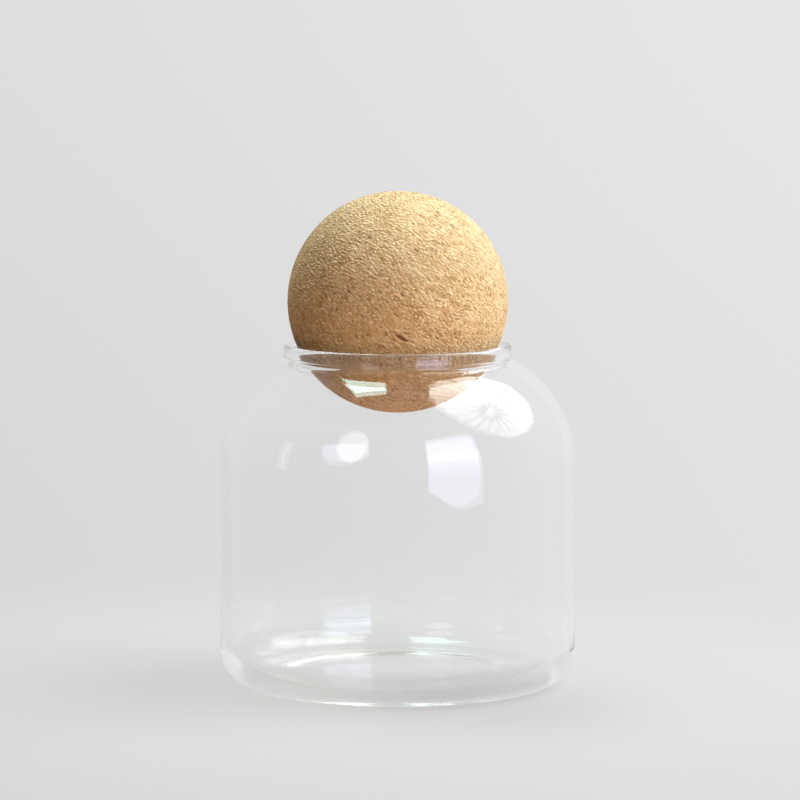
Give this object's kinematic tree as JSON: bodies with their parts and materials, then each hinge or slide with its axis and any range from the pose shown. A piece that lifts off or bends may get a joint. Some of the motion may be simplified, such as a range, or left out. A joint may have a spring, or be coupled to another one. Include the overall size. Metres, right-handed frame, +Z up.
{
  "type": "glass candle jar",
  "caption": "Clear glass jar with a straight round body, round shoulder, short neck and rolled lip, closed by a pressed cork ball that rests in the mouth and lifts off.",
  "frame": {"origin": "centre of the foot ring, on the surface that the jar stands on", "axes": "+Z up along the axis that the jar and the ball are turned about. The object is round, so X and Y are free; the picture looks along +Y with +X to its right"},
  "size_m": [0.1, 0.1, 0.1386],
  "materials": {
    "clear_glass": "polished",
    "pressed_cork": "matte"
  },
  "bodies": {
    "jar": {"glass_jar": "clear_glass"},
    "stopper": {"cork_ball_stopper": "pressed_cork"}
  },
  "joints": [
    {"name": "stopper_lift", "type": "slide", "parent": "jar", "child": "stopper", "axis": [0, 0, 1], "range_m": [0, 0.12]}
  ]
}
